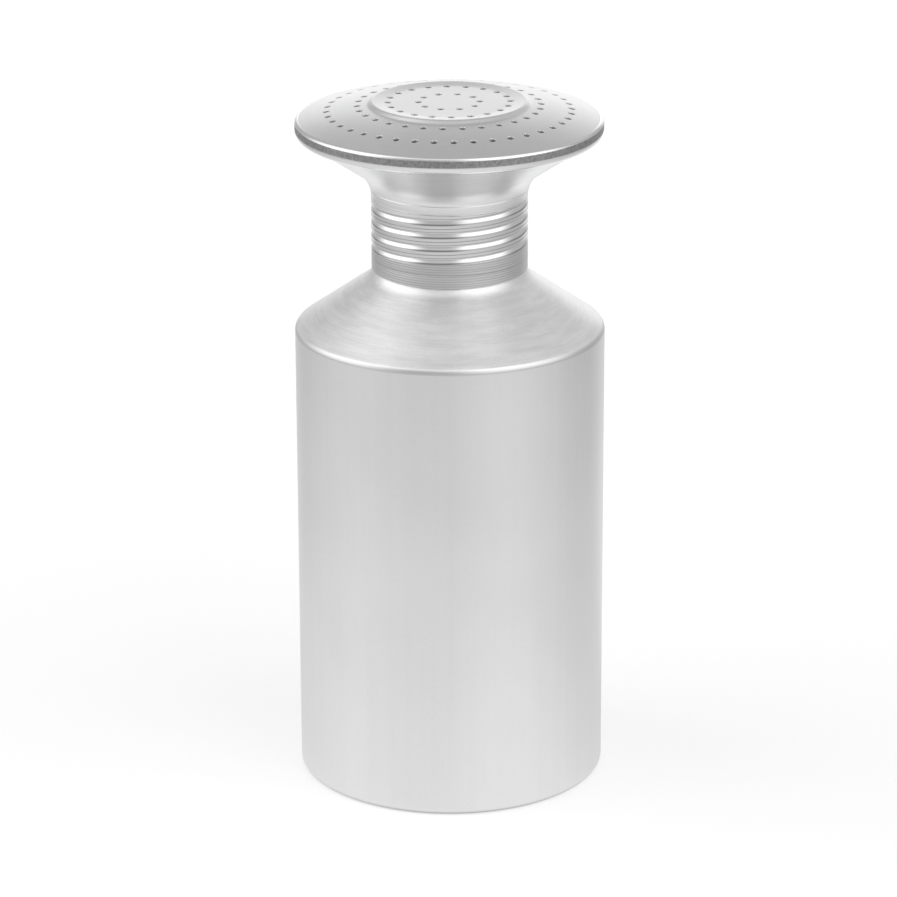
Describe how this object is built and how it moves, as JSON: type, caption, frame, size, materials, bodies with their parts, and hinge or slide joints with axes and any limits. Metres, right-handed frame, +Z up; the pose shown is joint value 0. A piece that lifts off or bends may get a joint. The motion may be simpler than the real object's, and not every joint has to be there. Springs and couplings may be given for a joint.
{
  "type": "kitchen salt and spice shaker with a screw-on sieve head",
  "caption": "Cylindrical aluminium bottle with a conical shoulder, closed by a screw-on funnel head whose domed sieve cap is pierced with rings of small holes.",
  "frame": {"origin": "centre of the base, on the plane that the shaker stands on", "axes": "+Z up along the shaker's axis, from the base to the sieve; the screw thread reaches full depth on the -X side"},
  "size_m": [0.08, 0.08, 0.1805],
  "materials": {
    "bottle_satin": "satin, with turning marks on the shoulder",
    "funnel_spun": "spun, with bright rolled thread grooves and a fine-turned skirt",
    "sieve_pressed": "fine matte, with a bright rim edge",
    "seal_silicone": "soft translucent white"
  },
  "bodies": {
    "bottle": {"bottle": "bottle_satin"},
    "seal": {"seal_ring": "seal_silicone"},
    "head": {"funnel": "funnel_spun", "sieve_cap": "sieve_pressed"}
  },
  "joints": [
    {"name": "head_lift", "type": "slide", "parent": "bottle", "child": "seal", "axis": [0, 0, 1], "range_m": [0, 0.0136]},
    {"name": "head_twist", "type": "hinge", "parent": "seal", "child": "head", "pos_m": [0, 0, 0.15], "axis": [0, 0, 1], "range_deg": [0, 1440]}
  ],
  "couplings": [
    {"joint": "head_lift", "follows": "head_twist", "m_per_rad": 0.00054113}
  ]
}
